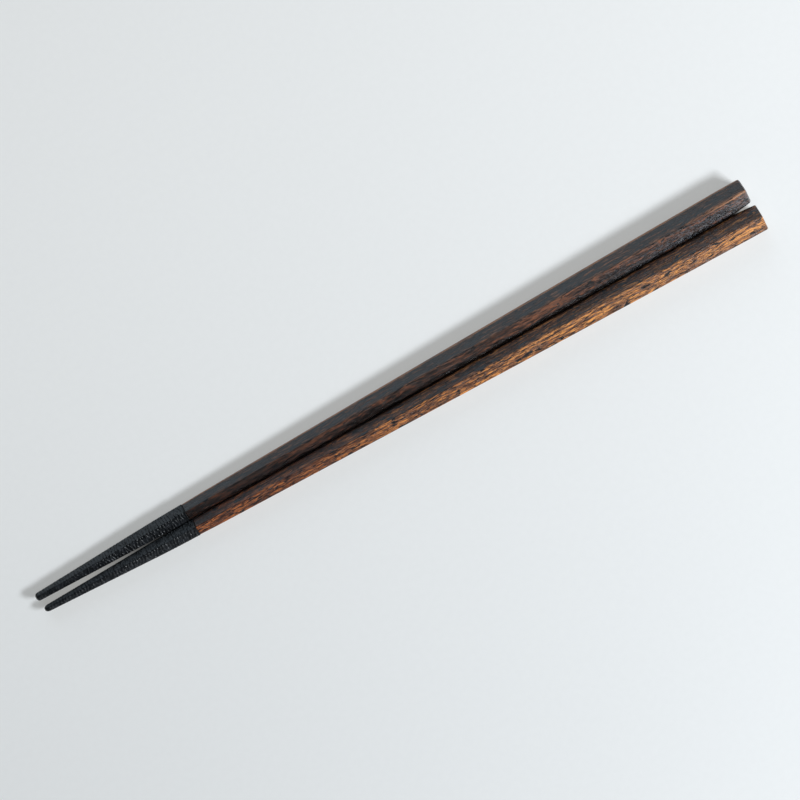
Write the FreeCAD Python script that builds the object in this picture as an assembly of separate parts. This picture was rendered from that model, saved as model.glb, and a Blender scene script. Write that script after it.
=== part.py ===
"""A pair of five-sided wooden chopsticks lying side by side, with black non-slip lacquer on their tips.

Each stick is planed to five flats from one rod of dark wood. It widens steeply from a blunt nose to a
knee near the end of the lacquer, then ever more gently along the shaft up to the head, and it has
bowed a little away from its fellow. The tip is pared back and built up again with a thick black lacquer, rippled across the stick so
that it grips, which ends in a raised rim.

Both sticks lie on one of their flats with a ridge on top, the way a five-sided stick comes to rest.
Millimetres. X runs from the tips to the heads, Y across the pair and Z up. The origin is on the table,
in the middle of the pair's footprint. Left and right are as seen from the heads.
"""

import FreeCAD, Part
import math
import os

# The shaft. Places are measured from the tip, and widths are taken across the two side ridges.
SIDES = 5
STICK_LENGTH = 230.0
SHOULDER_WIDTH = 4.97      # where the lacquer ends
SHAFT_TAPER = 0.0220       # width gained for each millimetre at the start of the shaft
EASE_START = 50.0          # from here the taper dies away towards the head
HEAD_START = 223.0
HEAD_WIDTH = 8.12
RIDGE_RADIUS = 0.40
BOW = 0.117                # how far the stick bows sideways at the middle of its length

# The tip.
KNEE_PLACE = 39.5          # where the tip's taper meets the shaft's
KNEE_BLEND = 12.0          # length over which one taper runs into the other
NOSE_FLAT = 0.35           # the small flat left on the nose, as a share of its width
TIP_RIDGE_RADIUS = 0.60    # at the nose, where the ridges are worn rounder
TIP_LIFT = 0.42            # how far the nose bows up from the line of the shaft
LIFT_START = 90.0          # where the bow starts, so that the shaft lies on the table from here on
SOLE_DEPTH = 0.02          # planed off underneath, so that the shaft rests on a true flat

# The lacquer on the tip.
COAT_LENGTH = 48.6
COAT_THICKNESS = 0.20
COAT_PROUD = 0.06          # how far its crests stand out from the line of the shaft
RIM_RADIUS = 0.09
SHOULDER_DIP = 0.09        # the wood is eased down towards the rim
SHOULDER_DIP_LENGTH = 6.0
RIPPLE_START = 16.0
RIPPLE_GROWTH = 12.0       # the first ripples are shallower, over this length
RIPPLE_PITCH = 0.93
RIPPLE_DEPTH = 0.07
RIPPLE_WANDER = 0.12       # how far a crest strays along the stick
RIPPLE_SLANT = 0.07        # slope of a crest across the stick

# How the two sticks lie.
SPLAY = 1.056              # degrees between them
TOUCH_GAP = 0.03           # left where they come closest
TIP_LEAD = 0.60            # how far the right stick lies ahead of the left one

HALF_TURN = math.pi / SIDES
SIDE_REACH = math.cos(math.pi / 2 - 2 * HALF_TURN) / math.cos(HALF_TURN)
DIP_END = COAT_LENGTH + SHOULDER_DIP_LENGTH
ROUNDEST = 0.8             # a ridge's radius is at most this share of the half width
SOFTENING_CURVE = 1.5      # the head draws in slowly at first
NOSE_STEPS = 3
KNEE_STEPS = 4
EASE_STEPS = 6
SOFTENING_STEPS = 3
EDGE_STEPS = 3
RIM_STEPS = 2
CLOSING_STEPS = 400        # places tried for where the two sticks come closest


def apothem(half_width, radius):
    """Distance from the axis to a flat, for a section of this half width whose ridges have this radius."""
    return (half_width - radius) / SIDE_REACH + radius


def shaft_half_width(x):
    """Half the width along the shaft, straight up to the easing and then a parabola up to the head."""
    straight = (SHOULDER_WIDTH + SHAFT_TAPER * (x - COAT_LENGTH)) / 2
    past = x - EASE_START
    if past <= 0:
        return straight
    run = HEAD_START - EASE_START
    shortfall = (SHOULDER_WIDTH + SHAFT_TAPER * (HEAD_START - COAT_LENGTH) - HEAD_WIDTH) / 2
    return straight - shortfall * (past / run) ** 2


def ridge_radius(x):
    """The ridges are crisp on the shaft, and worn rounder towards the nose."""
    return TIP_RIDGE_RADIUS + (RIDGE_RADIUS - TIP_RIDGE_RADIUS) * min(x / COAT_LENGTH, 1.0)


def bow(x):
    """How far the axis lies to one side, nothing at both ends and most in the middle."""
    return BOW * (1 - (2 * x / STICK_LENGTH - 1) ** 2)


def axis_height(x):
    """Height of the axis over the table: the shaft lies flat and the tip bows gently up from it."""
    resting = apothem(shaft_half_width(min(x, HEAD_START)), RIDGE_RADIUS) - SOLE_DEPTH
    return resting + TIP_LIFT * (max(LIFT_START - x, 0.0) / LIFT_START) ** 2


def section(chorded, side, x, half, radius, slant=0.0, drift=0.0):
    """Closed outline across the stick at x: five flats joined by arcs, one flat underneath.

    A chorded section has two chords in place of each arc. A slanted one lies slightly askew. Each one
    lies away from the other stick by its drift, besides the bow of the whole stick.
    """
    aside = side * (drift + bow(x))
    radius = min(radius, ROUNDEST * half)
    corner_reach = (apothem(half, radius) - radius) / math.cos(HALF_TURN)
    height = axis_height(x)

    def point(corner, angle):
        y = corner_reach * math.cos(corner) + radius * math.cos(angle)
        z = corner_reach * math.sin(corner) + radius * math.sin(angle)
        return FreeCAD.Vector(x + slant * y, y + aside, height + z)

    edges = []
    for i in range(SIDES):
        corner = math.pi / 2 + 2 * HALF_TURN * i
        following = corner + 2 * HALF_TURN
        start, middle, end = (point(corner, corner + turn) for turn in (-HALF_TURN, 0, HALF_TURN))
        if chorded:
            edges.append(Part.LineSegment(start, middle).toShape())
            edges.append(Part.LineSegment(middle, end).toShape())
        else:
            edges.append(Part.Arc(start, middle, end).toShape())
        edges.append(Part.LineSegment(end, point(following, following - HALF_TURN)).toShape())
    return Part.Wire(edges)


def loft(side, stations, chorded=False):
    """Solid through sections given as (x, half width, ridge radius, slant, drift), with straight runs."""
    return Part.makeLoft([section(chorded, side, *station) for station in stations], True, True)


class Stick:
    """One chopstick: what sets it apart from its fellow, and the shapes it is made of."""

    def __init__(self, side, tip_width, nose_length, head_softening, head_drift, head_edge_radius):
        self.side = side                          # 1 for the right stick, -1 for the left one
        self.tip_width = tip_width                # of the wood's taper, carried on to its very end
        self.nose_length = nose_length            # the rounded end of the tip
        self.head_softening = head_softening      # how much the head draws in on each side
        self.head_drift = head_drift              # how far it draws away from the other stick
        self.head_edge_radius = head_edge_radius  # round the end face

    def half_width(self, x):
        """Half the stick's width at x: the tip's taper, a soft knee, then the shaft."""
        shaft_slope = SHAFT_TAPER / 2
        tip_slope = (shaft_half_width(KNEE_PLACE) - self.tip_width / 2) / KNEE_PLACE
        past = x - (KNEE_PLACE - KNEE_BLEND / 2)
        if past >= KNEE_BLEND:
            return shaft_half_width(x)
        bend = (tip_slope - shaft_slope) * max(past, 0.0) ** 2 / (2 * KNEE_BLEND)
        return self.tip_width / 2 + tip_slope * x - bend

    def outer_half(self, x):
        """The same with the lacquer on it."""
        return self.half_width(x) + (COAT_PROUD if x <= COAT_LENGTH else 0.0)

    def nose(self, inset, outset):
        """The rounded end of the tip: a quarter ellipse in outline, ending in a small flat."""
        full = self.half_width(self.nose_length) + outset
        flat_angle = math.asin(NOSE_FLAT)
        stations = []
        for i in range(NOSE_STEPS + 1):
            angle = flat_angle + (math.pi / 2 - flat_angle) * i / NOSE_STEPS
            x = inset + (self.nose_length - inset) * (1 - math.cos(angle) / math.cos(flat_angle))
            stations.append((x, full * math.sin(angle), ridge_radius(x)))
        return stations

    def head(self):
        """The head draws in a little and ends in a flat face with a rounded edge."""
        stations = []
        drawn_end = STICK_LENGTH - self.head_edge_radius
        for i in range(1, SOFTENING_STEPS + 1):
            share = i / SOFTENING_STEPS
            x = HEAD_START + (drawn_end - HEAD_START) * share
            drawn = share ** SOFTENING_CURVE
            half = HEAD_WIDTH / 2 - self.head_softening * drawn
            stations.append((x, half, RIDGE_RADIUS, 0.0, self.head_drift * drawn))
        for i in range(1, EDGE_STEPS + 1):
            angle = math.pi / 2 * i / EDGE_STEPS
            x = drawn_end + self.head_edge_radius * math.sin(angle)
            half = HEAD_WIDTH / 2 - self.head_softening - self.head_edge_radius * (1 - math.cos(angle))
            stations.append((x, half, RIDGE_RADIUS, 0.0, self.head_drift))
        return stations

    def wood(self):
        """The whole wooden stick: pared tip under the lacquer, shoulder, shaft and head."""
        outset = COAT_PROUD - COAT_THICKNESS
        knee = [KNEE_PLACE + KNEE_BLEND * (i / KNEE_STEPS - 0.5) for i in range(KNEE_STEPS + 1)]
        stations = self.nose(COAT_THICKNESS, outset)
        stations += [(x, self.half_width(x) + outset, ridge_radius(x)) for x in knee + [COAT_LENGTH]]
        pared_tip = loft(self.side, stations, chorded=True)
        ease = [DIP_END + (HEAD_START - DIP_END) * i / EASE_STEPS for i in range(EASE_STEPS + 1)]
        shaft = [(COAT_LENGTH, self.half_width(COAT_LENGTH) - SHOULDER_DIP, RIDGE_RADIUS)]
        shaft += [(x, self.half_width(x), RIDGE_RADIUS) for x in ease]
        stick = pared_tip.fuse(loft(self.side, shaft + self.head())).removeSplitter()
        below = FreeCAD.Vector(0, -HEAD_WIDTH, -HEAD_WIDTH)
        return stick.cut(Part.makeBox(STICK_LENGTH, 2 * HEAD_WIDTH, HEAD_WIDTH, below))

    def coat(self, wood):
        """The lacquer round the pared tip: unevenly spaced, slanting ripples and a rounded rim."""
        stations = self.nose(0.0, COAT_PROUD)
        count = int((COAT_LENGTH - RIM_RADIUS - RIPPLE_START) / RIPPLE_PITCH)
        for i in range(count):
            crest = RIPPLE_START + RIPPLE_PITCH * i + RIPPLE_WANDER * math.sin(2.4 * i)
            hollow = crest + RIPPLE_PITCH / 2
            slant = RIPPLE_SLANT * math.sin(1.3 * i)
            depth = RIPPLE_DEPTH * (0.75 + 0.25 * math.sin(1.7 * i))
            depth *= min((i + 1) * RIPPLE_PITCH / RIPPLE_GROWTH, 1.0)
            for x, sunk in ((crest, 0.0), (hollow, depth)):
                stations.append((x, self.half_width(x) + COAT_PROUD - sunk, ridge_radius(x), slant))
        rim = self.half_width(COAT_LENGTH) + COAT_PROUD
        for i in range(RIM_STEPS + 1):
            angle = math.pi / 2 * i / RIM_STEPS
            x = COAT_LENGTH - RIM_RADIUS * (1 - math.sin(angle))
            stations.append((x, rim - RIM_RADIUS * (1 - math.cos(angle)), RIDGE_RADIUS))
        return loft(self.side, stations, chorded=True).cut(wood)

    def lay_down(self, shape):
        """Sets a shape on its side of the pair, turned so that the sticks splay and nearly touch."""
        turn = math.radians(SPLAY / 2)
        places = [HEAD_START * i / CLOSING_STEPS for i in range(CLOSING_STEPS + 1)]
        reach = max(self.outer_half(x) - bow(x) - math.tan(turn) * x for x in places)
        laid = shape.copy()
        laid.rotate(FreeCAD.Vector(0, 0, 0), FreeCAD.Vector(0, 0, 1), self.side * SPLAY / 2)
        offset = self.side * (reach * math.cos(turn) + TOUCH_GAP / 2)
        laid.translate(FreeCAD.Vector(-self.side * TIP_LEAD / 2, offset, 0))
        return laid


def main():
    """Builds both sticks, sets the pair about the origin and writes one file for each piece."""
    sticks = {
        "right": Stick(
            side=1,
            tip_width=2.26,
            nose_length=1.0,
            head_softening=0.33,
            head_drift=0.26,
            head_edge_radius=0.80,
        ),
        "left": Stick(
            side=-1,
            tip_width=1.84,
            nose_length=1.4,
            head_softening=0.21,
            head_drift=0.20,
            head_edge_radius=0.50,
        ),
    }
    pieces = {}
    for name, stick in sticks.items():
        wood = stick.wood()
        pieces[name + "_chopstick"] = stick.lay_down(wood)
        pieces[name + "_tip_coat"] = stick.lay_down(stick.coat(wood))
    footprint = Part.makeCompound(list(pieces.values())).BoundBox
    os.makedirs("parts", exist_ok=True)
    for name, shape in pieces.items():
        shape.translate(FreeCAD.Vector(-footprint.Center.x, -footprint.Center.y, 0))
        shape.Solids[0].exportStep("parts/" + name + ".step")


main()
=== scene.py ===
"""A pair of pentagonal wooden chopsticks with rippled black lacquer on their tips, seen from above."""

import logging
import math
from dataclasses import dataclass, field
from enum import Enum
from functools import partial, reduce
from typing import Dict, List, Sequence, Tuple, Union

import bpy
import numpy as np
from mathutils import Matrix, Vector


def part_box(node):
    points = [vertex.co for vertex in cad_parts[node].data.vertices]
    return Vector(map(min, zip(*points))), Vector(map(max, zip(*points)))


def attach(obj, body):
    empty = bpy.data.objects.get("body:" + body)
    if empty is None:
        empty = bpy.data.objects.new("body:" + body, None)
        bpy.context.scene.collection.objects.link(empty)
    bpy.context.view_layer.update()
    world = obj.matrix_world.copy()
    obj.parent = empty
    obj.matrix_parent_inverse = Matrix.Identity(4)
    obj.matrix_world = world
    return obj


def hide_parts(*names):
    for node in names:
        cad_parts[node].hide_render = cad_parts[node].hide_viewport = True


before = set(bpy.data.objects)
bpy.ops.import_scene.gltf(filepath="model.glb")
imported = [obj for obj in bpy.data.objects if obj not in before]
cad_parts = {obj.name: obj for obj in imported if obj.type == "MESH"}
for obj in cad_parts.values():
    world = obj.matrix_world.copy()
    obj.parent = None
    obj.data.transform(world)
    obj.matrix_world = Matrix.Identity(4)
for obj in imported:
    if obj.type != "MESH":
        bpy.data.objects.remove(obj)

LOG = logging.getLogger("chopsticks")
MM = 0.001
Pair = Tuple[float, float]
Triple = Tuple[float, float, float]
Step = Tuple[float, float, float, float]
Colour = Triple
Socket = bpy.types.NodeSocket
Value = Union[float, Sequence[float], Socket]


class Side(Enum):
    """Which chopstick of the pair, as seen from the heads."""

    RIGHT = 1
    LEFT = -1

    @property
    def word(self) -> str:
        """The side's name as the CAD nodes spell it."""
        return self.name.lower()


class Graph:
    """Adds and joins nodes in one node tree."""

    def __init__(self, tree: bpy.types.NodeTree) -> None:
        """Keeps the tree of a material, a world or a geometry group."""
        self.tree = tree

    def node(self, kind: str, **settings: object) -> bpy.types.Node:
        """Adds a node.

        Args:
            kind: the node's type name.
            settings: properties to set on it.

        Returns:
            The new node.
        """
        made = self.tree.nodes.new(kind)
        for name, value in settings.items():
            setattr(made, name, value)
        return made

    def feed(self, socket: Socket, value: Value) -> None:
        """Links a socket to its source, or sets its own value.

        Args:
            socket: the input to fill.
            value: an output socket, or a number or colour.
        """
        if isinstance(value, Socket):
            self.tree.links.new(value, socket)
        else:
            socket.default_value = value

    def math(self, operation: str, a: Value, b: Value = 0.0, c: Value = 0.0) -> Socket:
        """Adds one sum.

        Args:
            operation: the Math node's operation.
            a: first number.
            b: second number.
            c: third number, for the operations that take one.

        Returns:
            The result's socket.
        """
        made = self.node("ShaderNodeMath", operation=operation)
        for socket, value in zip(made.inputs, (a, b, c)):
            self.feed(socket, value)
        return made.outputs[0]

    def chain(self, operation: str, *numbers: Value) -> Socket:
        """Joins numbers in turn by one Math operation."""
        return reduce(partial(self.math, operation), numbers)

    def product(self, *numbers: Value) -> Socket:
        """Multiplies numbers in turn."""
        return self.chain("MULTIPLY", *numbers)

    def total(self, *numbers: Value) -> Socket:
        """Adds numbers in turn."""
        return self.chain("ADD", *numbers)

    def highest(self, *numbers: Value) -> Socket:
        """Takes the highest of some numbers."""
        return self.chain("MAXIMUM", *numbers)

    def apart(self, value: Value, middle: float) -> Socket:
        """Says how far a number lies from a middle value."""
        return self.math("ABSOLUTE", self.math("SUBTRACT", value, middle))

    def vector(self, operation: str, a: Value, b: Value) -> Socket:
        """Adds one sum on vectors.

        Args:
            operation: the Vector Math node's operation.
            a: first vector.
            b: second vector, or the number that scales the first.

        Returns:
            The result's socket.
        """
        made = self.node("ShaderNodeVectorMath", operation=operation)
        self.feed(made.inputs[0], a)
        self.feed(made.inputs["Scale" if operation == "SCALE" else 1], b)
        return made.outputs["Value" if operation == "DOT_PRODUCT" else "Vector"]

    def scaled(self, vector: Value, factor: Value) -> Socket:
        """Scales a vector or a colour by a number."""
        return self.vector("SCALE", vector, factor)

    def split(self, vector: Value) -> Sequence[Socket]:
        """Takes a vector apart.

        Args:
            vector: the vector's socket.

        Returns:
            The sockets of its X, Y and Z.
        """
        made = self.node("ShaderNodeSeparateXYZ")
        self.feed(made.inputs[0], vector)
        return made.outputs

    def noise(
        self,
        place: Value,
        along: float,
        across: float,
        detail: float = 2.0,
        roughness: float = 0.5,
        output: str = "Fac",
    ) -> Socket:
        """Adds a cloud noise that may be drawn out along the sticks.

        Args:
            place: where it is read, in millimetres.
            along: blobs per millimetre along X.
            across: blobs per millimetre along Y and Z.
            detail: how many finer layers it has.
            roughness: how strong those are.
            output: Fac for a number, Color for three.

        Returns:
            The noise's socket, which lies about 0.5.
        """
        made = self.node("ShaderNodeTexNoise")
        self.feed(made.inputs["Vector"], self.vector("MULTIPLY", place, (along, across, across)))
        for name, number in (("Scale", 1.0), ("Detail", detail), ("Roughness", roughness)):
            made.inputs[name].default_value = number
        return made.outputs[output]

    def remap(self, value: Value, low: Value, high: Value, before: Value = 0.0, after: Value = 1.0) -> Socket:
        """Adds a smooth step from one range to another.

        Args:
            value: what is mapped.
            low: where the step starts.
            high: where it ends.
            before: result at and before the start.
            after: result at and past the end.

        Returns:
            The result's socket.
        """
        made = self.node("ShaderNodeMapRange", interpolation_type="SMOOTHSTEP")
        names = ("Value", "From Min", "From Max", "To Min", "To Max")
        for name, number in zip(names, (value, low, high, before, after)):
            self.feed(made.inputs[name], number)
        return made.outputs["Result"]

    def mix(self, share: Value, a: Value, b: Value, blend: str = "MIX") -> Socket:
        """Mixes two colours.

        Args:
            share: how much of the second shows.
            a: first colour.
            b: second colour.
            blend: the Mix node's blend type.

        Returns:
            The mixed colour's socket.
        """
        made = self.node("ShaderNodeMix", data_type="RGBA", blend_type=blend)
        self.feed(made.inputs[0], share)
        for socket, colour in ((made.inputs[6], a), (made.inputs[7], b)):
            self.feed(socket, colour if isinstance(colour, Socket) else (*colour, 1.0))
        return made.outputs[2]

    def tinted(self, colour: Value, tint: Value) -> Socket:
        """Multiplies a colour by a tint."""
        return self.mix(1.0, colour, tint, "MULTIPLY")

    def ramp(self, value: Value, stops: Sequence[Tuple[float, Colour]]) -> Socket:
        """Adds a colour ramp.

        Args:
            value: where on the ramp, from 0 to 1.
            stops: places and their colours.

        Returns:
            The colour's socket.
        """
        made = self.node("ShaderNodeValToRGB")
        self.feed(made.inputs[0], value)
        while len(made.color_ramp.elements) < len(stops):
            made.color_ramp.elements.new(0.5)
        for element, (place, colour) in zip(made.color_ramp.elements, stops):
            element.position = place
            element.color = (*colour, 1.0)
        return made.outputs[0]

    def bump(self, shader: bpy.types.Node, height: Socket, depth: float, strength: float) -> None:
        """Bumps a shader's surface.

        Args:
            shader: whose normal is bumped.
            height: the surface's height.
            depth: millimetres for a height of 1.
            strength: how much of it shows.
        """
        made = self.node("ShaderNodeBump")
        self.feed(made.inputs["Height"], height)
        made.inputs["Distance"].default_value = depth * MM
        made.inputs["Strength"].default_value = strength
        self.feed(shader.inputs["Normal"], made.outputs["Normal"])


@dataclass(frozen=True)
class StickSizes:
    """One chopstick's sizes in millimetres, as the CAD has them, measured from the tip."""

    side: Side
    tip_width: float
    nose_length: float
    head_softening: float
    head_drift: float
    head_edge: float
    length: float = 230.0
    shoulder_width: float = 4.97
    shaft_taper: float = 0.0220
    ease_start: float = 50.0
    head_start: float = 223.0
    head_width: float = 8.12
    ridge_radius: float = 0.40
    bow: float = 0.117
    tip_ridge_radius: float = 0.60
    knee_place: float = 39.5
    knee_blend: float = 12.0
    nose_flat: float = 0.35
    tip_lift: float = 0.42
    lift_start: float = 90.0
    sole_depth: float = 0.02
    coat_length: float = 48.6
    coat_thickness: float = 0.20
    coat_proud: float = 0.06
    rim_radius: float = 0.09
    shoulder_dip: float = 0.09
    shoulder_dip_length: float = 6.0
    splay: float = 1.056
    sides: int = 5

    @property
    def side_reach(self) -> float:
        """Half the width of a section whose flats lie 1 from its axis."""
        half_turn = math.pi / self.sides
        return math.cos(math.pi / 2 - 2 * half_turn) / math.cos(half_turn)

    def apothem(self, half: float, radius: float) -> float:
        """Distance from the axis to a flat, from half the width across the side ridges and their radius."""
        return (half - radius) / self.side_reach + radius

    def shaft_half(self, x: float) -> float:
        """Half the shaft's width.

        Args:
            x: distance from the tip.

        Returns:
            Half the width there.
        """
        straight = (self.shoulder_width + self.shaft_taper * (x - self.coat_length)) / 2
        past = max(x - self.ease_start, 0.0) / (self.head_start - self.ease_start)
        full = self.shoulder_width + self.shaft_taper * (self.head_start - self.coat_length)
        return straight - (full - self.head_width) / 2 * past ** 2

    def half_width(self, x: float) -> float:
        """Half the stick's width with the tip's steeper taper and the knee.

        Args:
            x: distance from the tip.

        Returns:
            Half the width there.
        """
        past = x - (self.knee_place - self.knee_blend / 2)
        if past >= self.knee_blend:
            return self.shaft_half(x)
        slope = (self.shaft_half(self.knee_place) - self.tip_width / 2) / self.knee_place
        bend = (slope - self.shaft_taper / 2) * max(past, 0.0) ** 2 / (2 * self.knee_blend)
        return self.tip_width / 2 + slope * x - bend

    def radius_at(self, x: float) -> float:
        """The ridges' radius at a distance from the tip."""
        share = min(x / self.coat_length, 1.0)
        return self.tip_ridge_radius + (self.ridge_radius - self.tip_ridge_radius) * share

    def bow_at(self, x: float) -> float:
        """How far the axis bows away from the other stick at a distance from the tip."""
        return self.bow * (1 - (2 * x / self.length - 1) ** 2)

    def axis_height(self, x: float) -> float:
        """Height of the axis over the table at a distance from the tip."""
        half = self.shaft_half(min(x, self.head_start))
        resting = self.apothem(half, self.ridge_radius) - self.sole_depth
        return resting + self.tip_lift * (max(self.lift_start - x, 0.0) / self.lift_start) ** 2


@dataclass
class Tube:
    """A closed skin made of rings round the stick's axis, in millimetres."""

    sizes: StickSizes
    arc_steps: int = 6
    flat_steps: int = 12
    radius_limit: float = 0.8
    widest_height: float = 3.0
    rings: List[np.ndarray] = field(default_factory=list)
    relief: List[float] = field(default_factory=list)

    def outline(self, half: float, radius: float) -> np.ndarray:
        """Draws a rounded pentagon with a ridge on top.

        Args:
            half: half its width.
            radius: its ridges' radius.

        Returns:
            Its points round the axis, as rows of Y and Z.
        """
        radius = min(radius, self.radius_limit * half)
        half_turn = math.pi / self.sizes.sides
        reach = (self.sizes.apothem(half, radius) - radius) / math.cos(half_turn)
        arcs: List[List[Pair]] = []
        for i in range(self.sizes.sides):
            corner = math.pi / 2 + 2 * half_turn * i
            turns = [corner + half_turn * (2 * j / self.arc_steps - 1) for j in range(self.arc_steps + 1)]
            y, z = reach * math.cos(corner), reach * math.sin(corner)
            arcs.append([(y + radius * math.cos(turn), z + radius * math.sin(turn)) for turn in turns])
        points: List[Pair] = []
        for arc, following in zip(arcs, arcs[1:] + arcs[:1]):
            points += arc
            for j in range(1, self.flat_steps):
                points.append(tuple(p + (q - p) * j / self.flat_steps for p, q in zip(arc[-1], following[0])))
        return np.array(points)

    def ring(
        self,
        x: float,
        half: float,
        radius: float,
        relief: float = 1.0,
        shrink: float = 1.0,
        drift: float = 0.0,
        lean: float = 0.0,
    ) -> None:
        """Adds a ring.

        Args:
            x: distance from the tip.
            half: half the section's width.
            radius: its ridges' radius.
            relief: how much of the surface's relief shows there.
            shrink: share of the section's size, for the rings inside an end face.
            drift: how far it lies away from the other stick, besides the bow.
            lean: how far the ring leans back for each millimetre above its widest place.
        """
        outline = self.outline(half, radius) * shrink
        aside = self.sizes.side.value * (drift + self.sizes.bow_at(x))
        height = np.maximum(outline[:, 1] + self.sizes.axis_height(x), 0.0)
        back = lean * np.maximum(height - self.widest_height, 0.0)
        self.rings.append(np.column_stack([x - back, outline[:, 0] + aside, height]))
        self.relief.append(relief)

    def nose(self, inset: float, outset: float, relief: float, steps: int) -> List[Tuple[float, ...]]:
        """The stations of a rounded end.

        Args:
            inset: how far it lies behind the lacquer's end.
            outset: how far it stands out from the stick's line.
            relief: how much relief shows.
            steps: how many stations.

        Returns:
            (x, half, radius, relief) for each, from the end backwards.
        """
        z = self.sizes
        full = z.half_width(z.nose_length) + outset
        first = math.asin(z.nose_flat)
        stations = []
        for i in range(steps + 1):
            angle = first + (math.pi / 2 - first) * i / steps
            x = inset + (z.nose_length - inset) * (1 - math.cos(angle) / math.cos(first))
            stations.append((x, full * math.sin(angle), z.radius_at(x), relief))
        return stations

    def mesh(self, name: str, place: "Place") -> bpy.types.Mesh:
        """Joins the rings into a closed mesh.

        Args:
            name: the mesh's name.
            place: where the stick lies in the pair.

        Returns:
            The mesh, with the float attribute relief on its points.
        """
        count = len(self.rings[0])
        ends = [self.rings[0].mean(0), self.rings[-1].mean(0)]
        points = place.lay(np.vstack(self.rings + [np.array(ends)])) * MM
        faces: List[Tuple[int, ...]] = []
        around = [(j, (j + 1) % count) for j in range(count)]
        middle = len(self.rings) * count
        last = middle - count
        for a in range(0, last, count):
            faces += [(a + j, a + k, a + count + k, a + count + j) for j, k in around]
        for j, k in around:
            faces += [(middle, k, j), (middle + 1, last + j, last + k)]
        made = bpy.data.meshes.new(name)
        made.from_pydata(points.tolist(), [], faces)
        made.polygons.foreach_set("use_smooth", [True] * len(made.polygons))
        shown = np.repeat(self.relief, count).tolist() + [self.relief[0], self.relief[-1]]
        made.attributes.new("relief", "FLOAT", "POINT").data.foreach_set("value", shown)
        made.validate()
        return made


@dataclass(frozen=True)
class Place:
    """Where one chopstick lies in the pair, in millimetres, fitted to its CAD nodes."""

    sizes: StickSizes
    shift: Pair = (0.0, 0.0)

    def lay(self, points: np.ndarray) -> np.ndarray:
        """Turns and moves a stick's points into the row frame.

        Args:
            points: places along the X axis.

        Returns:
            The same points where the stick lies.
        """
        turn = math.radians(self.sizes.side.value * self.sizes.splay / 2)
        cos, sin = math.cos(turn), math.sin(turn)
        laid = points.copy()
        laid[:, 0] = points[:, 0] * cos - points[:, 1] * sin + self.shift[0]
        laid[:, 1] = points[:, 0] * sin + points[:, 1] * cos + self.shift[1]
        return laid

    @classmethod
    def fitted(cls, sizes: StickSizes, wood: Tube, coat: Tube) -> "Place":
        """Finds the place from the CAD nodes' boxes.

        Args:
            sizes: the stick's sizes.
            wood: its wooden skin.
            coat: its lacquer.

        Returns:
            The place.
        """
        word = sizes.side.word
        rough = cls(sizes)
        tip = rough.lay(np.vstack(coat.rings))[:, 0].min()
        sideways = rough.lay(np.vstack(wood.rings))[:, 1] * sizes.side.value
        low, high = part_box(word + "_chopstick")
        outer = high.y if sizes.side is Side.RIGHT else -low.y
        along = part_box(word + "_tip_coat")[0].x / MM - tip
        return cls(sizes, (along, sizes.side.value * (outer / MM - sideways.max())))


@dataclass(frozen=True)
class Finish:
    """What every finish shares."""

    name: str

    def start(self) -> Tuple[bpy.types.Material, Graph, bpy.types.Node]:
        """Makes an empty material.

        Returns:
            The material, its graph and its shader node.
        """
        material = bpy.data.materials.new(self.name)
        material.use_nodes = True
        graph = Graph(material.node_tree)
        return material, graph, material.node_tree.nodes["Principled BSDF"]

    @staticmethod
    def millimetres(graph: Graph) -> Socket:
        """The place on the object in millimetres."""
        return graph.vector("MULTIPLY", graph.node("ShaderNodeTexCoord").outputs["Object"], (1 / MM,) * 3)


@dataclass(frozen=True)
class WoodFigure:
    """The wood's marks, alike on both sticks.

    A noise has blobs per millimetre along and across the stick, and finer layers. A step has its start and
    end, then what it gives there or else 0 and 1. Across a stick, -1 is the contact and 0 the top ridge.
    """

    seed_way: Triple = (7.3, 3.1, 1.0)
    warps: Tuple[Triple, ...] = ((0.020, 0.13, 2.4), (0.075, 0.24, 1.5), (0.30, 0.8, 0.45))
    noise_roughness: float = 0.55
    clouds: Triple = (0.014, 0.42, 2.0)
    streaks: Triple = (0.10, 1.4, 3.0)
    fibres: Triple = (0.36, 3.2, 2.0)
    lines: Triple = (0.20, 2.0, 1.0)
    dashes: Triple = (0.32, 1.15, 3.0)
    patches: Triple = (0.045, 0.95, 3.0)
    specks: Triple = (1.6, 2.4, 2.0)
    ridge_line: Pair = (0.0088, 3.16)
    side_line: Pair = (0.0089, 3.08)
    tone_shares: Triple = (0.9, 1.5, 1.6)
    tone_middle: float = 1.47
    ramp_places: Triple = (0.16, 0.50, 0.84)
    vein_rise: Pair = (-0.75, -0.10)
    vein_fall: Step = (0.0, 0.25, 1.0, 0.4)
    # Painted shade: where the tone darkens towards the contact.
    painted_shade_fall: Pair = (-0.95, -0.65)
    outer_dark_rise: Pair = (0.10, 0.35)
    outer_dark_fall: Step = (0.72, 0.90, 1.0, 0.0)
    outer_dark_share: float = 0.7
    line_edge: Pair = (0.014, 0.070)
    thread_middle: float = 0.47
    thread_edge: Pair = (0.0, 0.045)
    thread_share: float = 0.8
    dash_edge: float = 0.04
    tip_fade: Step = (-85.0, 75.0, 1.0, 0.0)
    inner_side: Step = (-0.04, 0.03, 1.0, 0.0)
    patch_step: Step = (0.40, 0.56, 0.35, 1.25)
    speck_step: Pair = (0.48, 0.64)
    # Where the painted glints lie, along the stick and across it.
    painted_glint_rise: Pair = (45.0, 105.0)
    painted_glint_side: Step = (-0.24, -0.06, 1.0, 0.0)
    ridge_side: Step = (0.04, 0.12, 1.0, 0.0)
    ridge_rise: Step = (94.0, 108.0, -0.5, 0.9)
    ridge_breaks: Pair = (0.38, 0.50)
    edge_side: Pair = (0.88, 0.95)
    edge_breaks: Step = (0.35, 0.55, 0.35, 1.0)
    # Painted shade at the contact between the sticks.
    painted_contact_shade: Step = (-1.0, -0.82, 0.15, 1.0)
    contact_gloss: Step = (-0.95, -0.75, 0.1, 0.5)
    roughness_step: Step = (0.1, 0.8, 0.27, 0.44)
    grain_height: float = 0.5
    sunk_height: float = 0.3


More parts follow.
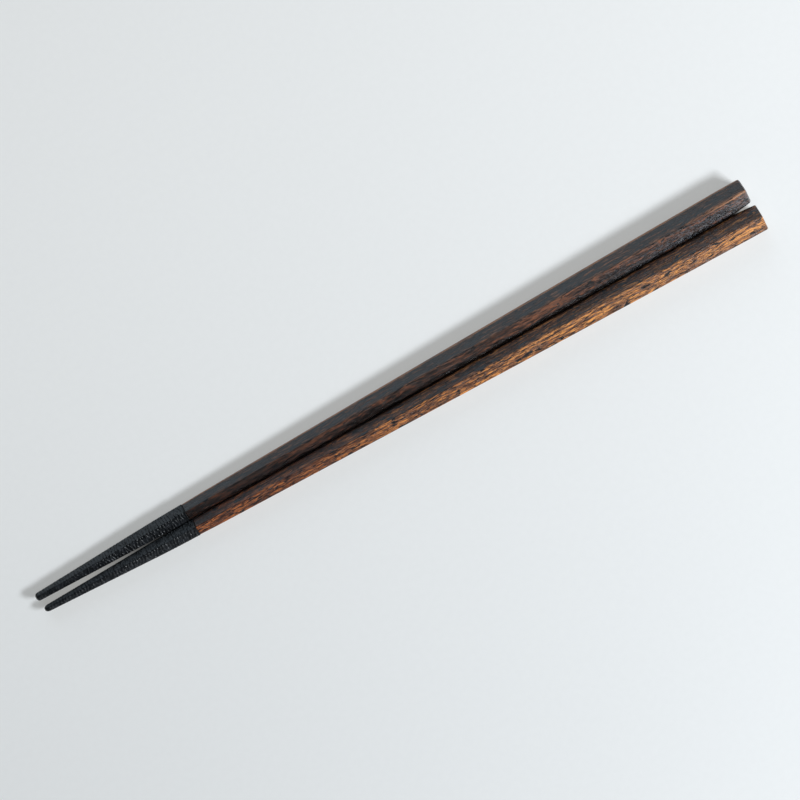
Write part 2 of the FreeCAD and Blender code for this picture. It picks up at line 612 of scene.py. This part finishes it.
@dataclass(frozen=True)
class WoodPlan:
    """The places and noises on which the wood's layers are drawn."""

    graph: Graph
    x: Socket
    across: Socket
    place: Socket
    grain: Socket
    streaks: Socket
    fibres: Socket


@dataclass(frozen=True)
class WoodFinish(Finish):
    """Dense figured hardwood: fine wavy dark lines, golden flecks, black dashes and a thin satin finish."""

    seed: float = 0.0
    light: Colour = (0.735, 0.287, 0.063)
    middle: Colour = (0.275, 0.099, 0.033)
    dark: Colour = (0.070, 0.031, 0.016)
    black: Colour = (0.010, 0.008, 0.008)
    near_tip: Colour = (0.61, 0.43, 0.44)
    tone: float = 0.0
    lines: float = 0.85
    dashes: float = 0.575
    # Strength of the lighter streaks below the ridge; it also sets how deep the painted shade towards the
    # contact goes and how dark the outer facet is.
    vein: float = 0.0
    # Painted glints: grey-blue specks that stand for light caught by open pores on the facet below the ridge
    # near the head.
    painted_glint: Colour = (0.125, 0.132, 0.155)
    painted_glint_share: float = 0.0
    inner: Colour = (1.0, 0.87, 1.15)
    # Orange-brown line along the outer edge and, near the head, along the ridge.
    edge_tint: Colour = (0.42, 0.20, 0.11)
    edge_tint_share: float = 0.0
    # Grey band at the head: painted sheen where the rounded bevel catches the light, and the greyer end grain
    # on the end face.
    bevel_sheen_and_end_grain: Colour = (0.21, 0.19, 0.185)
    bevel_sheen_start: float = 114.95
    bevel_sheen_edge: float = 0.2
    bevel_sheen_share: float = 0.7
    bump_depth: float = 0.12
    bump_strength: float = 0.7
    figure: WoodFigure = WoodFigure()

    def drawn(self, graph: Graph, grain: Socket, mark: Triple) -> Socket:
        """A noise of the figure, read along the bent grain."""
        return graph.noise(grain, *mark, roughness=self.figure.noise_roughness)

    def bent(self, graph: Graph, place: Socket) -> Socket:
        """Bends the grain in long sweeps and in short waves.

        Args:
            graph: the material's graph.
            place: the place in millimetres.

        Returns:
            The bent place's socket.
        """
        for along, across, reach in self.figure.warps:
            centred = graph.vector("SUBTRACT", graph.noise(place, along, across, output="Color"), (0.5,) * 3)
            place = graph.vector("ADD", place, graph.vector("MULTIPLY", centred, (0.0, reach, reach)))
        return place

    def plan(self, graph: Graph) -> WoodPlan:
        """Finds the places and noises that the layers share.

        Args:
            graph: the material's graph.

        Returns:
            The plan.
        """
        figure = self.figure
        here = self.millimetres(graph)
        x, y, _ = graph.split(here)
        ridge = graph.math("MULTIPLY_ADD", x, *figure.ridge_line)
        half = graph.math("MULTIPLY_ADD", x, *figure.side_line)
        across = graph.math("DIVIDE", graph.math("SUBTRACT", graph.math("ABSOLUTE", y), ridge), half)
        place = graph.vector("ADD", here, tuple(self.seed * way for way in figure.seed_way))
        grain = self.bent(graph, place)
        streaks, fibres = (self.drawn(graph, grain, mark) for mark in (figure.streaks, figure.fibres))
        return WoodPlan(graph, x, across, place, grain, streaks, fibres)

    def tones(self, plan: WoodPlan) -> Socket:
        """Sets how light the wood is before its dark marks, with painted shade towards the contact.

        Args:
            plan: the places and noises.

        Returns:
            The tone's socket.
        """
        graph, figure, across = plan.graph, self.figure, plan.across
        noises = (self.drawn(graph, plan.grain, figure.clouds), plan.streaks, plan.fibres)
        tone = graph.total(*(graph.product(noise, share) for noise, share in zip(noises, figure.tone_shares)))
        vein = graph.product(
            graph.remap(across, *figure.vein_rise, 0.0, self.vein),
            graph.remap(across, *figure.vein_fall),
        )
        # Painted shade: the facet darkens towards the contact, where the other stick shades it.
        painted_shade = graph.remap(across, *figure.painted_shade_fall, self.vein, 0.0)
        # Darker tone across the outer facet, away from the ridge and the outer edge.
        outer_dark = graph.product(
            graph.remap(across, *figure.outer_dark_rise, 0.0, figure.outer_dark_share * self.vein),
            graph.remap(across, *figure.outer_dark_fall),
        )
        tone = graph.total(tone, graph.math("SUBTRACT", vein, graph.total(painted_shade, outer_dark)))
        return graph.math("SUBTRACT", tone, figure.tone_middle - self.tone)

    def marks(self, plan: WoodPlan) -> Socket:
        """Draws the dark lines, threads and dashes.

        Args:
            plan: the places and noises.

        Returns:
            The socket of how dark a place is.
        """
        graph, figure = plan.graph, self.figure
        off_line = graph.apart(self.drawn(graph, plan.grain, figure.lines), 0.5)
        lines = graph.remap(off_line, *figure.line_edge, self.lines, 0.0)
        off_thread = graph.apart(plan.fibres, figure.thread_middle)
        threads = graph.remap(off_thread, *figure.thread_edge, figure.thread_share * self.lines, 0.0)
        dashes = self.drawn(graph, plan.grain, figure.dashes)
        return graph.highest(lines, threads, graph.remap(dashes, self.dashes, self.dashes + figure.dash_edge))

    def fresh(self, plan: WoodPlan, tone: Socket, sunk: Socket) -> Socket:
        """Colours the wood, darker towards the tip and patchy on the inner side.

        Args:
            plan: the places and noises.
            tone: how light the wood is.
            sunk: where its dark marks lie.

        Returns:
            The colour's socket.
        """
        graph, figure = plan.graph, self.figure
        colour = graph.ramp(tone, tuple(zip(figure.ramp_places, (self.dark, self.middle, self.light))))
        colour = graph.mix(sunk, colour, self.black)
        near_tip = graph.remap(plan.x, *figure.tip_fade)
        colour = graph.mix(near_tip, colour, graph.tinted(colour, self.near_tip))
        on_inner = graph.remap(plan.across, *figure.inner_side)
        patches = graph.remap(self.drawn(graph, plan.grain, figure.patches), *figure.patch_step)
        return graph.mix(on_inner, colour, graph.scaled(graph.tinted(colour, self.inner), patches))

    def painted_light_and_tints(self, plan: WoodPlan, colour: Socket) -> Socket:
        """Adds painted glints, orange-brown edge lines and painted sheen on the head's bevel with greyer end
        grain, and paints shade at the contact.

        Args:
            plan: the places and noises.
            colour: the wood's own colour.

        Returns:
            The colour's socket.
        """
        graph, figure, x, across = plan.graph, self.figure, plan.x, plan.across
        # Painted glints: light specks on the facet below the ridge, growing towards the head.
        painted_glint = graph.product(
            graph.remap(graph.noise(plan.place, *figure.specks), *figure.speck_step),
            graph.remap(x, *figure.painted_glint_rise, 0.0, self.painted_glint_share),
            graph.remap(across, *figure.painted_glint_side),
        )
        colour = graph.mix(painted_glint, colour, self.painted_glint)
        on_ridge = graph.product(
            graph.remap(graph.math("ABSOLUTE", across), *figure.ridge_side),
            graph.remap(x, *figure.ridge_rise),
            graph.remap(plan.fibres, *figure.ridge_breaks),
        )
        on_edge = graph.product(
            graph.remap(across, *figure.edge_side),
            graph.remap(plan.streaks, *figure.edge_breaks),
        )
        # Orange-brown line along the outer edge and, near the head, along the ridge.
        edge_tints = graph.product(graph.highest(on_edge, on_ridge), self.edge_tint_share)
        colour = graph.mix(edge_tints, colour, self.edge_tint)
        # Painted sheen on the head's rounded bevel, with the greyer end grain on the end face.
        on_bevel_sheen = graph.remap(x, self.bevel_sheen_start, self.bevel_sheen_start + self.bevel_sheen_edge, 0.0, self.bevel_sheen_share)
        colour = graph.mix(on_bevel_sheen, colour, self.bevel_sheen_and_end_grain)
        # Painted shade: the colour darkens to near black at the contact between the sticks.
        return graph.scaled(colour, graph.remap(across, *figure.painted_contact_shade))

    def build(self) -> bpy.types.Material:
        """Makes the material.

        Returns:
            The wood.
        """
        material, graph, shader = self.start()
        figure, plan = self.figure, self.plan(graph)
        tone, sunk = self.tones(plan), self.marks(plan)
        graph.feed(shader.inputs["Base Color"], self.painted_light_and_tints(plan, self.fresh(plan, tone, sunk)))
        graph.feed(shader.inputs["Roughness"], graph.remap(tone, *figure.roughness_step))
        graph.feed(shader.inputs["Specular IOR Level"], graph.remap(plan.across, *figure.contact_gloss))
        raised = (graph.product(noise, figure.grain_height) for noise in (plan.streaks, plan.fibres))
        height = graph.math("SUBTRACT", graph.total(*raised), graph.product(sunk, figure.sunk_height))
        graph.bump(shader, height, self.bump_depth, self.bump_strength)
        return material


@dataclass(frozen=True)
class LacquerFinish(Finish):
    """Thick black lacquer with a satin surface, dulled in places and streaked across towards the rim."""

    base: Colour = (0.0040, 0.0045, 0.0055)
    dust: float = 3.0
    seed: float = 0.0
    clouds: Triple = (0.35, 0.6, 3.0)
    grit: Triple = (2.6, 2.6, 3.0)
    strokes: Triple = (1.15, 0.40, 1.5)
    stroke_rise: Step = (-113.0, -85.0, 0.7, 2.4)
    dust_step: Pair = (0.45, 0.7)
    roughness_step: Step = (0.3, 0.7, 0.30, 0.44)
    gloss: float = 0.38
    bump_depth: float = 0.10
    bump_strength: float = 0.7

    def build(self) -> bpy.types.Material:
        """Makes the material.

        Returns:
            The lacquer.
        """
        material, graph, shader = self.start()
        here = self.millimetres(graph)
        place = graph.vector("ADD", here, (self.seed,) * 3)
        clouds, grit, strokes = (graph.noise(place, *mark) for mark in (self.clouds, self.grit, self.strokes))
        dusty = tuple(self.dust * part for part in self.base)
        colour = graph.mix(graph.remap(clouds, *self.dust_step), self.base, dusty)
        graph.feed(shader.inputs["Base Color"], colour)
        graph.feed(shader.inputs["Roughness"], graph.remap(clouds, *self.roughness_step))
        shader.inputs["Specular IOR Level"].default_value = self.gloss
        grows = graph.remap(graph.split(here)[0], *self.stroke_rise)
        height = graph.total(grit, graph.product(strokes, grows))
        graph.bump(shader, height, self.bump_depth, self.bump_strength)
        return material


@dataclass(frozen=True)
class FloorFinish(Finish):
    """A plain pale table, seen brighter by the camera and mirrors, with painted shade between the sticks and a
    painted falloff of light across it.
    """

    base: Colour = (0.56, 0.56, 0.56)
    mottle: Triple = (0.5, 0.5, 3.0)
    mottle_step: Step = (0.3, 0.7, 0.985, 1.0)
    roughness: float = 0.9
    gloss: float = 0.1
    glow: Colour = (0.298, 0.294, 0.280)
    # Painted light falloff: how the glow grows across the table.
    glow_painted_falloff: Step = (-150.0, 150.0, 0.91, 1.25)
    painted_falloff_way: Triple = (0.162, 0.987, 0.0)
    # Where the painted shade between the sticks ends, across and along the table.
    painted_shade_edge: Pair = (0.3, 1.2)
    painted_shade_tip_end: Step = (-104.0, -72.0, 1.0, 0.0)
    painted_shade_head_end: Pair = (109.0, 112.0)

    def build(self) -> bpy.types.Material:
        """Makes the material.

        Returns:
            The table's surface.
        """
        material, graph, shader = self.start()
        place = self.millimetres(graph)
        faint = graph.remap(graph.noise(place, *self.mottle), *self.mottle_step)
        graph.feed(shader.inputs["Base Color"], graph.tinted(self.base, faint))
        shader.inputs["Roughness"].default_value = self.roughness
        shader.inputs["Specular IOR Level"].default_value = self.gloss
        rays = graph.node("ShaderNodeLightPath")
        seen = graph.highest(rays.outputs["Is Camera Ray"], rays.outputs["Is Glossy Ray"])
        x, y, _ = graph.split(place)
        # Painted shade: the glow is left out along the contact between the sticks, except towards the tips and
        # the heads.
        outside_painted_shade = graph.highest(
            graph.remap(graph.math("ABSOLUTE", y), *self.painted_shade_edge),
            graph.remap(x, *self.painted_shade_tip_end),
            graph.remap(x, *self.painted_shade_head_end),
        )
        # Painted light falloff: the glow grows steadily across the table along one way.
        painted_falloff = graph.remap(graph.vector("DOT_PRODUCT", place, self.painted_falloff_way), *self.glow_painted_falloff)
        shader.inputs["Emission Color"].default_value = (*self.glow, 1.0)
        graph.feed(shader.inputs["Emission Strength"], graph.product(seen, outside_painted_shade, painted_falloff))
        return material


class Relief:
    """A geometry group that raises and sinks a skin's surface along its normals."""

    SIDE_FADE: Step = (0.04, 0.30, 0.2, 1.0)

    def __init__(self, name: str, numbers: Dict[str, float]) -> None:
        """Starts the group with its inputs.

        Args:
            name: the group's name.
            numbers: the named inputs and their values.
        """
        self.group = bpy.data.node_groups.new(name, "GeometryNodeTree")
        self.graph = Graph(self.group)
        self.numbers = numbers
        sockets = self.group.interface
        sockets.new_socket("Geometry", in_out="INPUT", socket_type="NodeSocketGeometry")
        for word in numbers:
            sockets.new_socket(word, in_out="INPUT", socket_type="NodeSocketFloat")
        sockets.new_socket("Material", in_out="INPUT", socket_type="NodeSocketMaterial")
        sockets.new_socket("Geometry", in_out="OUTPUT", socket_type="NodeSocketGeometry")
        self.given = self.graph.node("NodeGroupInput")
        position = self.graph.node("GeometryNodeInputPosition").outputs[0]
        self.here = self.graph.vector("MULTIPLY", position, (1 / MM,) * 3)

    def number(self, word: str) -> Socket:
        """The socket of one of the named inputs."""
        return self.given.outputs[word]

    def seeded(self) -> Socket:
        """The point's place moved by the seed, which sets one stick's relief apart from the other's."""
        return self.graph.vector("ADD", self.here, self.number("Seed"))

    def close(self, height: Socket) -> None:
        """Moves the points by a height and ends the group.

        Args:
            height: millimetres along the normal, masked by the relief attribute and faint on side ridges.
        """
        graph = self.graph
        shown = graph.node("GeometryNodeInputNamedAttribute", data_type="FLOAT")
        shown.inputs["Name"].default_value = "relief"
        normal = graph.node("GeometryNodeInputNormal").outputs[0]
        upright = graph.math("ABSOLUTE", graph.split(normal)[2])
        share = graph.product(shown.outputs[0], graph.remap(upright, *self.SIDE_FADE))
        moved = graph.node("GeometryNodeSetPosition")
        graph.feed(moved.inputs["Geometry"], self.given.outputs["Geometry"])
        graph.feed(moved.inputs["Offset"], graph.scaled(normal, graph.product(height, share, MM)))
        real = graph.node("GeometryNodeRealizeInstances")
        graph.feed(real.inputs[0], moved.outputs[0])
        painted = graph.node("GeometryNodeSetMaterial")
        graph.feed(painted.inputs["Geometry"], real.outputs[0])
        graph.feed(painted.inputs["Material"], self.given.outputs["Material"])
        graph.feed(graph.node("NodeGroupOutput").inputs[0], painted.outputs[0])

    def apply(
        self, name: str, mesh: bpy.types.Mesh, material: bpy.types.Material, seed: float
    ) -> bpy.types.Object:
        """Runs the group on a mesh.

        Args:
            name: the piece's name.
            mesh: its plain skin.
            material: its finish.
            seed: sets this piece's relief apart from its fellow's.

        Returns:
            The finished piece, with a plain mesh and no modifier.
        """
        raw = bpy.data.objects.new(name + "_raw", mesh)
        bpy.context.scene.collection.objects.link(raw)
        modifier = raw.modifiers.new("relief", "NODES")
        modifier.node_group = self.group
        values = dict(self.numbers, Seed=seed, Material=material)
        for item in self.group.interface.items_tree:
            if item.in_out == "INPUT" and item.name in values:
                modifier[item.identifier] = values[item.name]
        bpy.context.view_layer.update()
        evaluated = raw.evaluated_get(bpy.context.evaluated_depsgraph_get())
        plain = bpy.data.meshes.new_from_object(evaluated)
        plain.name = name
        bpy.data.objects.remove(raw)
        bpy.data.meshes.remove(mesh)
        piece = bpy.data.objects.new(name, plain)
        bpy.context.scene.collection.objects.link(piece)
        return piece


class WoodRelief(Relief):
    """Planing waves and open pores that run along the grain, all sunk below the CAD's surface."""

    NUMBERS: Dict[str, float] = {"Waves": 0.02, "Pores": 0.03, "Seed": 0.0}
    WAVES: Triple = (0.08, 0.22, 1.0)
    WAVE_STEP: Pair = (0.3, 0.7)
    PORES: Triple = (0.30, 2.7, 2.0)
    PORE_STEP: Pair = (0.55, 0.68)

    def __init__(self) -> None:
        """Builds the group."""
        super().__init__("wood_relief", self.NUMBERS)
        graph, place = self.graph, self.seeded()
        waves = graph.remap(graph.noise(place, *self.WAVES), *self.WAVE_STEP)
        pores = graph.remap(graph.noise(place, *self.PORES), *self.PORE_STEP)
        sunk = graph.product(waves, self.number("Waves"))
        pits = graph.product(pores, self.number("Pores"))
        self.close(graph.product(graph.total(sunk, pits), -1.0))


class LacquerRipple(Relief):
    """Ripples across the stick that cross, fork and break off, strongest towards the rim."""

    NUMBERS: Dict[str, float] = dict(Pitch=0.93, Height=0.15, Slant=0.16, Start=-114.0, Full=-90.0, Seed=0.0)
    FIRST_SHARE: float = 0.80
    HEIGHT_SHARE: float = 0.7
    STRAY: Triple = (0.5, 0.9, 2.0)
    STRAY_REACH: float = 2.4
    PATCHES: Triple = (0.7, 0.8, 1.0)
    PATCH_STEP: Pair = (0.36, 0.60)
    CREST_POWER: float = 2.2
    SETS: Tuple[Triple, ...] = ((1.0, 0.0, 0.6), (-1.0, 5.0, 0.4))

    def __init__(self) -> None:
        """Builds the group from two sets of ripples: the way they slant, their shift and share of straying."""
        super().__init__("lacquer_ripple", self.NUMBERS)
        graph, place = self.graph, self.seeded()
        x, y, z = graph.split(self.here)
        side = graph.total(y, graph.product(z, self.HEIGHT_SHARE))
        off_middle = graph.math("SUBTRACT", graph.noise(place, *self.STRAY), 0.5)
        stray = graph.product(off_middle, self.STRAY_REACH)
        crests = []
        for way, shift, share in self.SETS:
            leaning = graph.product(side, self.number("Slant"), way)
            along = graph.total(x, leaning, graph.product(stray, share))
            turn = graph.product(graph.math("DIVIDE", along, self.number("Pitch")), 2 * math.pi)
            wave = graph.total(graph.product(graph.math("SINE", turn), 0.5), 0.5)
            moved = graph.vector("ADD", place, (shift,) * 3)
            patch = graph.remap(graph.noise(moved, *self.PATCHES), *self.PATCH_STEP)
            crests.append(graph.product(graph.math("POWER", wave, self.CREST_POWER), patch))
        grows = graph.remap(x, self.number("Start"), self.number("Full"), self.FIRST_SHARE, 1.0)
        sunk = graph.math("SUBTRACT", graph.highest(*crests), 1.0)
        self.close(graph.product(sunk, self.number("Height"), grows))


@dataclass
class Chopstick:
    """One chopstick: its wooden stick and the lacquer on its tip, with the spacing of their rings."""

    sizes: StickSizes
    wood_finish: WoodFinish
    lacquer_finish: LacquerFinish
    seed: float
    end_lean: float = 0.07
    wood_step: float = 0.34
    coat_step: float = 0.11
    core_start: float = 2.5
    core_rings: int = 24
    core_nose_steps: int = 4
    nose_steps: int = 10
    edge_rings: int = 8
    face_rings: int = 14
    rim_rings: int = 5
    lining_rings: int = 16
    lining_nose_gap: float = 0.5
    nose_relief: float = 0.6
    relief_fade: float = 1.0
    rim_fade: float = 0.5
    draw_power: float = 1.5

    def wood_skin(self) -> Tube:
        """Draws the wooden skin: pared tip, shoulder, shaft, head and end face.

        Returns:
            The skin.
        """
        z = self.sizes
        tube = Tube(z)
        outset = z.coat_proud - z.coat_thickness
        for station in tube.nose(z.coat_thickness, outset, 0.0, self.core_nose_steps):
            tube.ring(*station)
        for x in np.linspace(self.core_start, z.coat_length, self.core_rings):
            tube.ring(x, z.half_width(x) + outset, z.radius_at(x), 0.0)
        edge = z.head_edge
        drawn_end = z.length - edge
        for x in np.linspace(z.coat_length, drawn_end, int((drawn_end - z.coat_length) / self.wood_step)):
            dip = z.shoulder_dip * max(1 - (x - z.coat_length) / z.shoulder_dip_length, 0.0)
            drawn = max((x - z.head_start) / (drawn_end - z.head_start), 0.0) ** self.draw_power
            half = z.half_width(min(x, z.head_start)) - dip - z.head_softening * drawn
            shown = min((x - z.coat_length) / self.relief_fade, 1.0)
            tube.ring(x, half, z.ridge_radius, shown, drift=z.head_drift * drawn)
        full = z.head_width / 2 - z.head_softening
        for angle in np.linspace(0, math.pi / 2, self.edge_rings)[1:]:
            x, half = drawn_end + edge * math.sin(angle), full - edge * (1 - math.cos(angle))
            lean = self.end_lean * math.sin(angle)
            tube.ring(x, half, z.ridge_radius, drift=z.head_drift, lean=lean)
        for shrink in np.linspace(1, 0, self.face_rings)[1:-1]:
            tube.ring(z.length, full - edge, z.ridge_radius, 1.0, shrink, z.head_drift, self.end_lean)
        return tube

    def coat_skin(self) -> Tube:
        """Draws the lacquer's skin: outside, rounded rim and the inside against the wood.

        Returns:
            The skin.
        """
        z = self.sizes
        tube = Tube(z)
        for station in tube.nose(0.0, z.coat_proud, self.nose_relief, self.nose_steps):
            tube.ring(*station)
        rim_start = z.coat_length - z.rim_radius
        outside = int((rim_start - z.nose_length) / self.coat_step)
        for x in np.linspace(z.nose_length, rim_start, outside)[1:]:
            near_rim = min((rim_start - x) / self.rim_fade, 1.0)
            tube.ring(x, z.half_width(x) + z.coat_proud, z.radius_at(x), near_rim)
        rim = z.half_width(z.coat_length) + z.coat_proud
        for angle in np.linspace(0, math.pi / 2, self.rim_rings)[1:]:
            x, half = rim_start + z.rim_radius * math.sin(angle), rim - z.rim_radius * (1 - math.cos(angle))
            tube.ring(x, half, z.ridge_radius, 0.0)
        inner = z.coat_proud - z.coat_thickness
        for x in np.linspace(z.coat_length, z.nose_length + self.lining_nose_gap, self.lining_rings):
            tube.ring(x, z.half_width(x) + inner, z.radius_at(x), 0.0)
        for station in reversed(tube.nose(z.coat_thickness, inner, 0.0, self.core_nose_steps)):
            tube.ring(*station)
        return tube

    def build(self, wood_relief: WoodRelief, ripple: LacquerRipple) -> None:
        """Makes both pieces and sets them in the frame.

        Args:
            wood_relief: the wood's relief.
            ripple: the lacquer's relief.
        """
        word = self.sizes.side.word
        wood, coat = self.wood_skin(), self.coat_skin()
        place = Place.fitted(self.sizes, wood, coat)
        for node, slot, tube, relief, finish in (
            (word + "_chopstick", "wood", wood, wood_relief, self.wood_finish),
            (word + "_tip_coat", "lacquer", coat, ripple, self.lacquer_finish),
        ):
            piece = relief.apply(word + "_" + slot, tube.mesh(node, place), finish.build(), self.seed)
            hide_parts(node)
            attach(piece, "root")
            LOG.info("built %s with %d faces", piece.name, len(piece.data.polygons))


@dataclass
class Studio:
    """The table, the lights and the camera."""

    roll: float = -29.31
    distance: float = 0.796
    lens: float = 126.85
    sensor: float = 36.0
    clip_start: float = 0.05
    aim: Pair = (1.374 * MM, 0.539 * MM)
    table_reach: float = 3.0
    table_level: float = -0.02 * MM
    key_turn: float = -13.5
    key_rise: float = 33.8
    key_distance: float = 0.95
    key_size: Pair = (0.369, 0.133)
    key_power: float = 11.6
    key_colour: Colour = (0.90, 0.955, 1.0)
    room_colour: Colour = (0.74, 0.88, 1.0)
    ambient: float = 0.045
    backdrop: float = 0.85
    low_rise: float = 16.0
    window_turn: float = 117.0
    window_glow: float = 1.70
    wall_turn: float = -61.0
    wall_glow: float = 0.18
    ceiling_glow: float = 0.20
    patch_edge: Pair = (0.80, 0.95)

    def direction(self, turn: float, rise: float) -> Triple:
        """The way from the pair to a place in the room.

        Args:
            turn: its bearing in degrees from the picture's right, anticlockwise.
            rise: its height in degrees above the table.

        Returns:
            A vector of length 1.
        """
        bearing, height = math.radians(turn + self.roll), math.radians(rise)
        return math.cos(bearing) * math.cos(height), math.sin(bearing) * math.cos(height), math.sin(height)

    def table(self) -> None:
        """Lays the table under the pair."""
        mesh = bpy.data.meshes.new("table")
        corners = ((-1, -1), (1, -1), (1, 1), (-1, 1))
        points = [(x * self.table_reach, y * self.table_reach, self.table_level) for x, y in corners]
        mesh.from_pydata(points, [], [(0, 1, 2, 3)])
        floor = bpy.data.objects.new("table", mesh)
        bpy.context.scene.collection.objects.link(floor)
        mesh.materials.append(FloorFinish("pale_table").build())

    def key(self) -> None:
        """Hangs the rectangular lamp that lights the pair."""
        data = bpy.data.lights.new("key", "AREA")
        data.shape = "RECTANGLE"
        data.size, data.size_y = self.key_size
        data.energy = self.key_power
        data.color = self.key_colour
        lamp = bpy.data.objects.new("key", data)
        way = Vector(self.direction(self.key_turn, self.key_rise))
        lamp.location = way * self.key_distance
        lamp.rotation_euler = way.to_track_quat("Z", "Y").to_euler()
        bpy.context.scene.collection.objects.link(lamp)

    def world(self) -> None:
        """Sets a dim room light with a pale window, a dimmer wall across from it and a dim ceiling."""
        world = bpy.data.worlds.new("room")
        world.use_nodes = True
        graph = Graph(world.node_tree)
        back = world.node_tree.nodes["Background"]
        back.inputs["Color"].default_value = (*self.room_colour, 1.0)
        way = graph.node("ShaderNodeTexCoord").outputs["Generated"]
        room: Value = self.ambient
        for turn, rise, glow in (
            (self.window_turn, self.low_rise, self.window_glow),
            (self.wall_turn, self.low_rise, self.wall_glow),
            (0.0, 90.0, self.ceiling_glow),
        ):
            towards = graph.vector("DOT_PRODUCT", way, self.direction(turn, rise))
            room = graph.total(room, graph.remap(towards, *self.patch_edge, 0.0, glow))
        seen = graph.node("ShaderNodeLightPath").outputs["Is Camera Ray"]
        graph.feed(back.inputs["Strength"], graph.highest(room, graph.product(seen, self.backdrop)))
        bpy.context.scene.world = world

    def camera(self) -> None:
        """Sets the camera straight above, rolled as the photograph shows the pair."""
        data = bpy.data.cameras.new("camera")
        data.lens = self.lens
        data.sensor_width = self.sensor
        data.clip_start = self.clip_start
        camera = bpy.data.objects.new("camera", data)
        camera.location = (*self.aim, self.distance)
        camera.rotation_euler = (0.0, 0.0, math.radians(self.roll))
        bpy.context.scene.collection.objects.link(camera)
        bpy.context.scene.camera = camera

    def build(self) -> None:
        """Sets up everything round the pair."""
        self.table()
        self.camera()
        self.world()
        self.key()
        bpy.context.scene.view_settings.view_transform = "Standard"


def right_chopstick() -> Chopstick:
    """The upper stick in the photograph, of nearly black wood.

    Returns:
        The stick, not yet built.
    """
    sizes = StickSizes(
        Side.RIGHT, tip_width=2.26, nose_length=1.0, head_softening=0.33, head_drift=0.26, head_edge=0.80
    )
    wood = WoodFinish(
        "right_wood",
        seed=11.0,
        light=(0.240, 0.103, 0.050),
        middle=(0.034, 0.017, 0.011),
        dark=(0.008, 0.005, 0.004),
        black=(0.003, 0.002, 0.002),
        near_tip=(0.42, 0.36, 0.34),
        tone=-0.06,
        lines=0.65,
        dashes=0.58,
        painted_glint_share=0.42,
        vein=0.22,
        inner=(0.76, 0.58, 0.46),
        edge_tint=(0.50, 0.22, 0.10),
        edge_tint_share=0.7,
        bevel_sheen_start=114.1,
    )
    return Chopstick(sizes, wood, LacquerFinish("right_lacquer", seed=3.0), seed=11.0, end_lean=0.03)


def left_chopstick() -> Chopstick:
    """The lower stick in the photograph, of lighter golden brown wood.

    Returns:
        The stick, not yet built.
    """
    sizes = StickSizes(
        Side.LEFT, tip_width=1.84, nose_length=1.4, head_softening=0.21, head_drift=0.20, head_edge=0.50
    )
    wood = WoodFinish("left_wood", seed=4.0, inner=(0.52, 0.54, 0.72))
    return Chopstick(sizes, wood, LacquerFinish("left_lacquer", seed=8.0), seed=4.0)


def main() -> None:
    """Builds the studio and both chopsticks."""
    logging.basicConfig(level=logging.INFO)
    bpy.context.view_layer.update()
    Studio().build()
    LOG.info("built the studio")
    wood_relief, ripple = WoodRelief(), LacquerRipple()
    for stick in (right_chopstick(), left_chopstick()):
        stick.build(wood_relief, ripple)


if __name__ == "__main__":
    main()
